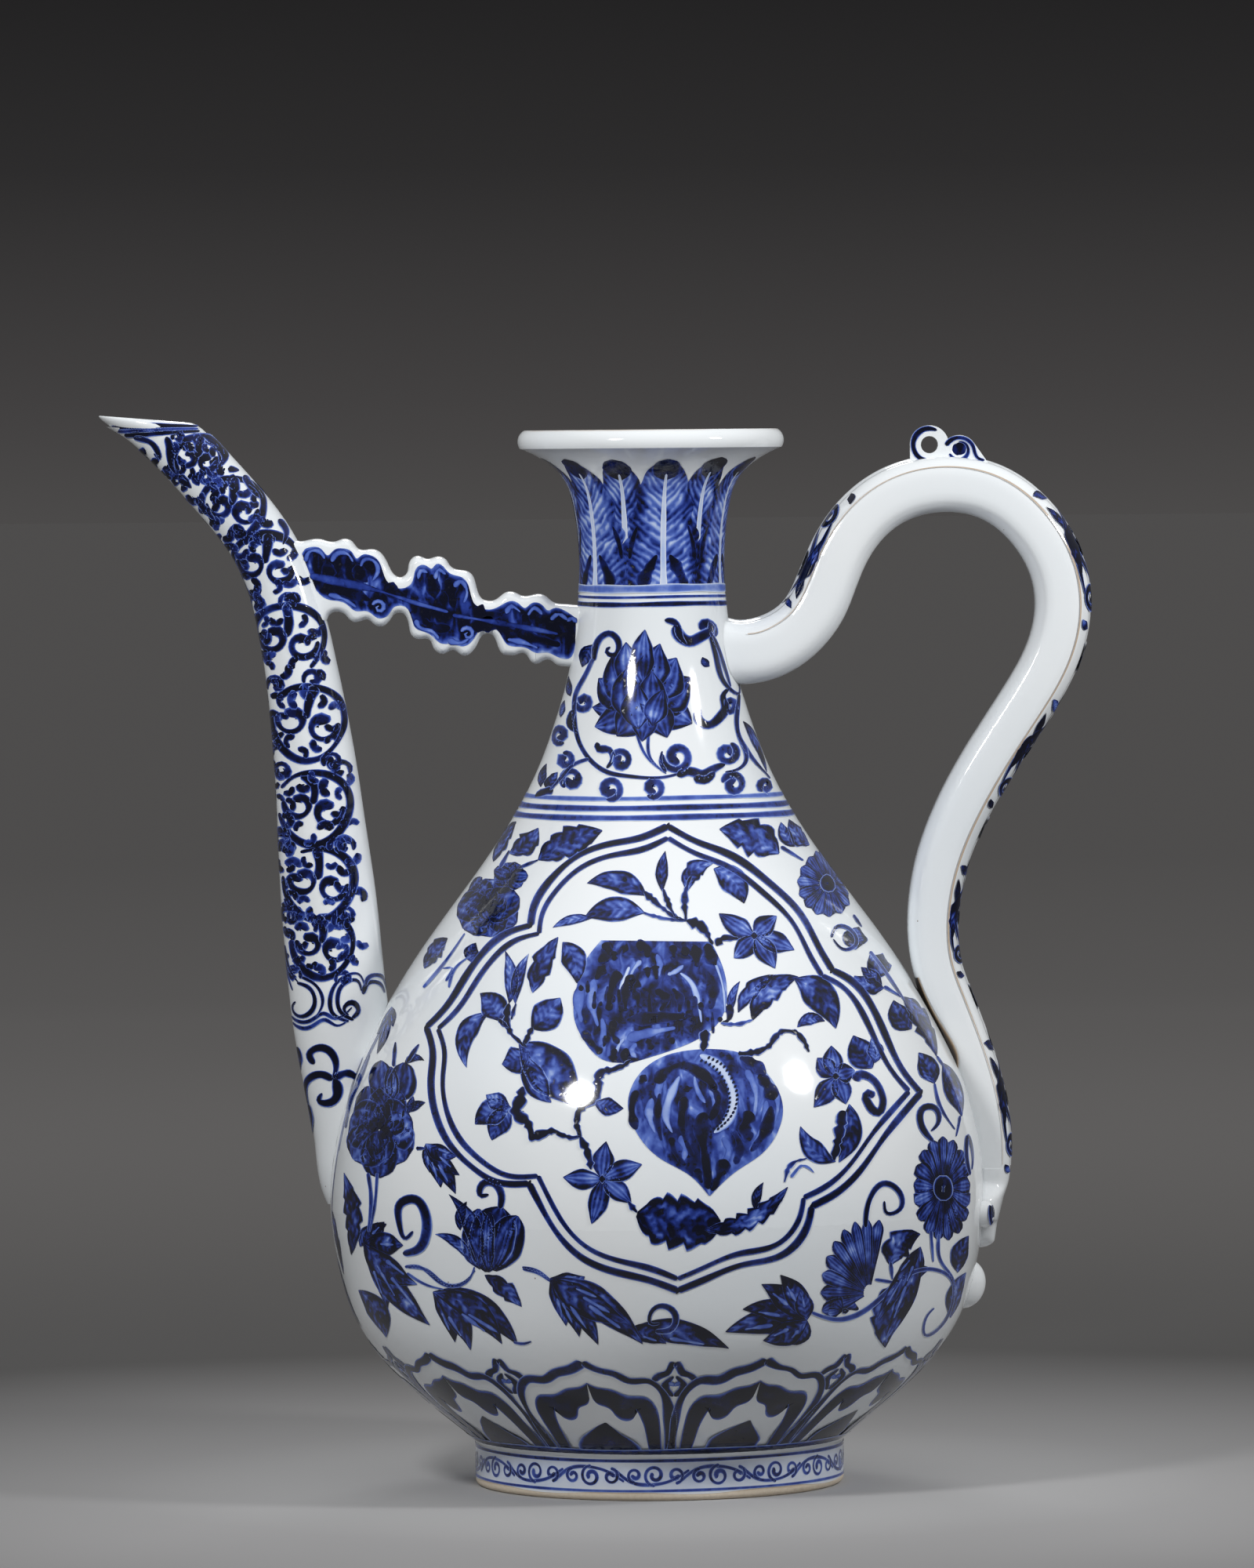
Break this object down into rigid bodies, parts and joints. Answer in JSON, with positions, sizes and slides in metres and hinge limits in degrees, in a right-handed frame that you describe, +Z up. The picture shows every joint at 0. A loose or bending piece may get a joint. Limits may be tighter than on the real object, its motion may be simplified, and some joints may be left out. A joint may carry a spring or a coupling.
{
  "type": "pear-shaped ewer",
  "caption": "Pear-shaped porcelain ewer with long curved spout, cloud strut, looped handle and cobalt painting under a clear glaze.",
  "frame": {"origin": "centre of the foot ring on the plane it stands on, on the axis of the pot", "axes": "+Z up along the axis of the pot, +X towards the handle, -X towards the spout, -Y is the front face"},
  "size_m": [0.2771, 0.1836, 0.3002],
  "materials": {
    "foot": "glazed sides with a scroll line, bare cream clay on the standing edge",
    "painted_body": "cobalt painting under a glossy bluish-white glaze",
    "painted_neck": "cobalt plantain leaves under a glossy bluish-white glaze",
    "painted_spout": "cobalt scrolls under a glossy bluish-white glaze",
    "painted_strut": "cobalt wash with a white edge under a glossy glaze",
    "painted_band": "cobalt scroll on white under a glossy glaze",
    "white_glaze": "plain glossy bluish-white glaze"
  },
  "bodies": {
    "root": {"foot_ring": "foot", "lower_body": "painted_body", "upper_body": "painted_body", "neck": "painted_neck", "spout_front_half": "painted_spout", "spout_back_half": "painted_spout", "spout_strut": "painted_strut", "handle_grip": "white_glaze", "handle_back": "painted_band", "cord_loop": "white_glaze", "handle_terminal": "white_glaze", "terminal_curl_front": "white_glaze", "terminal_curl_back": "white_glaze", "terminal_bud": "white_glaze"}
  },
  "joints": []
}
